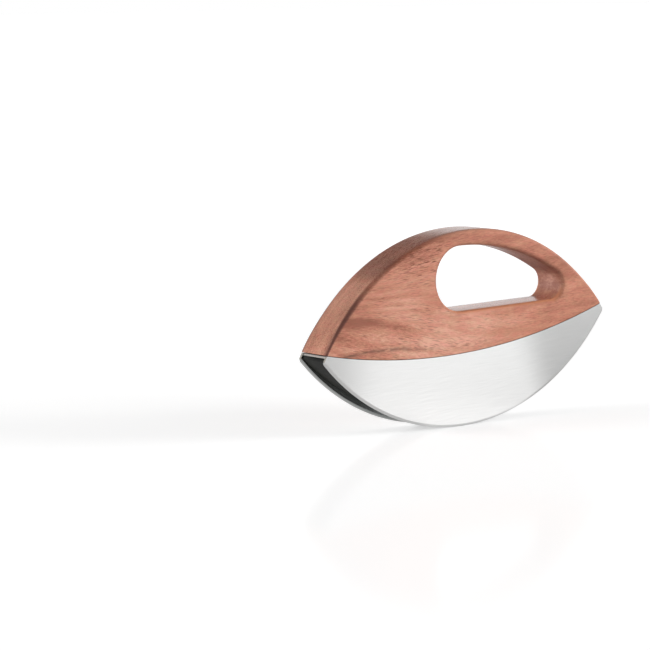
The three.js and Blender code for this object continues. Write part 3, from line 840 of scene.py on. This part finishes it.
def white_floor():
    """White paint under a thin gloss, self-lit up to plain white for the camera. Reflections see it a little
    darker, with a light panel before either blade: a straight band across the floor, brightest beside the
    knife, except where the knife's end stands in its way. The rear panel is the front one, half turned."""
    material, _, start = finish("white_floor")
    camera_ray, glass_ray, mirror_ray = (
        start.node("LightPath", output=ray)
        for ray in ("Is Camera Ray", "Is Transmission Ray", "Is Glossy Ray"))
    x, y, _ = start.node("TexCoord", output="Object").parts()
    far = (x * x + y * y).between(0.04, 2.0)
    along = x * y.math("SIGN", y) * -1.0
    away = abs(y)
    across = along * np.cos(PANEL_TURN) - away * np.sin(PANEL_TURN)
    panel = across.between(*PANEL_LEFT) * across.between(*PANEL_RIGHT) * away.between(*PANEL_NEAR)
    own_shade = along.between(-0.015, -0.04) * away.between(0.045, 0.034)
    nearby = away.between(0.15, 0.03) * along.between(0.085, 0.03)
    panel = panel * (1.0 + 0.4 * nearby) * (1.0 - 0.95 * own_shade)
    mirror_glow = MIRROR_GLOW + 0.3 * far - 0.07 * across.between(0.045, 0.08) + panel * PANEL_GLOW
    glow = (camera_ray + glass_ray) * (FLOOR_GLOW + 0.32 * far) + mirror_ray * mirror_glow
    paint = start.node("BsdfDiffuse", {"Color": FLOOR_PAINT})
    matt = start.node("AddShader", {0: paint, 1: start.node("Emission", {"Color": glow})})
    gloss = start.node("BsdfGlossy", {"Roughness": FLOOR_ROUGHNESS})
    whole = start.node("MixShader", {0: FLOOR_GLOSS, 1: matt, 2: gloss})
    start.feed(material.node_tree.nodes["Material Output"].inputs["Surface"], whole)
    return material


corners = FLOOR_HALF * np.array([[-1, -1, 0], [1, -1, 0], [1, 1, 0], [-1, 1, 0]])
floor = surface("floor", corners, [(0, 1, 2, 3)])
floor.data.materials.append(white_floor())

# Brightness of the ceiling, what the band of light along the horizon adds to it, how much less of that matt
# surfaces get, and the heights of direction between which the band fades in.
CEILING_LIGHT = 0.15
BAND_LIGHT = 0.85
BAND_MATT_LOSS = 0.35
BAND_FADE = 0.42, 0.2


def white_studio():
    """A world with a white band above the horizon under a dark ceiling. The camera sees plain white."""
    world = bpy.data.worlds.new("white_studio")
    world.use_nodes = True
    sky = Shade(world.node_tree)
    height = sky.node("TexCoord", output="Generated").parts()[2]
    matt_ray = sky.node("LightPath", output="Is Diffuse Ray")
    band = CEILING_LIGHT + (BAND_LIGHT - BAND_MATT_LOSS * matt_ray) * height.between(*BAND_FADE)
    camera_ray = sky.node("LightPath", output="Is Camera Ray")
    background = world.node_tree.nodes["Background"]
    sky.feed(background.inputs["Color"], camera_ray.math("MAXIMUM", camera_ray, band))
    return world


bpy.context.scene.world = white_studio()

KNIFE_MIDDLE = (0, 0, 0.06)
WARM_WHITE = (1, 0.9, 0.76)


def lamp(name, place, aim, width, height, watts, diffuse=True, glossy=True, colour=(1, 1, 1)):
    """A soft rectangular lamp at a place, turned to face a point, for matt surfaces, glossy ones or both."""
    light = bpy.data.lights.new(name, "AREA")
    light.shape = "RECTANGLE"
    light.size, light.size_y, light.energy, light.color = width, height, watts, colour
    holder = bpy.data.objects.new(name, light)
    holder.location = place
    way = Vector(aim) - Vector(place)
    holder.rotation_euler = way.to_track_quat("-Z", "Y").to_euler()
    holder.visible_camera = False
    holder.visible_diffuse, holder.visible_glossy = diffuse, glossy
    bpy.context.scene.collection.objects.link(holder)


lamp("key_softbox", (1.8, -1.65, 0.6), KNIFE_MIDDLE, width=1.2, height=0.9, watts=58, glossy=False)
lamp("rear_softbox", (-2.2, 1.0, 0.55), KNIFE_MIDDLE, width=1.0, height=0.8, watts=42)
lamp("rear_card", (-0.58, 1.5, 1.3), (-0.58, 0, 0.06), width=1.26, height=0.9, watts=2.4, diffuse=False,
     colour=WARM_WHITE)

# The camera's place in metres, its turns in degrees and its lens in millimetres.
CAMERA_PLACE = (-1.08189, -1.20380, 0.26676)
CAMERA_DOWN, CAMERA_RIGHT, CAMERA_ROLL = 7.349, 39.235, -0.43
CAMERA_LENS, SENSOR_WIDTH = 154.86, 36.0

camera_lens = bpy.data.cameras.new("photo_camera")
camera_lens.sensor_fit = "HORIZONTAL"
camera_lens.sensor_width = SENSOR_WIDTH
camera_lens.lens = CAMERA_LENS
camera_lens.clip_start = 0.05
camera = bpy.data.objects.new("photo_camera", camera_lens)
camera.location = CAMERA_PLACE
upright = Euler(np.radians([90 - CAMERA_DOWN, 0, -CAMERA_RIGHT])).to_matrix()
camera.rotation_euler = (upright @ Matrix.Rotation(np.radians(CAMERA_ROLL), 3, "Z")).to_euler()
bpy.context.scene.collection.objects.link(camera)
bpy.context.scene.camera = camera
bpy.context.scene.view_settings.view_transform = "Standard"
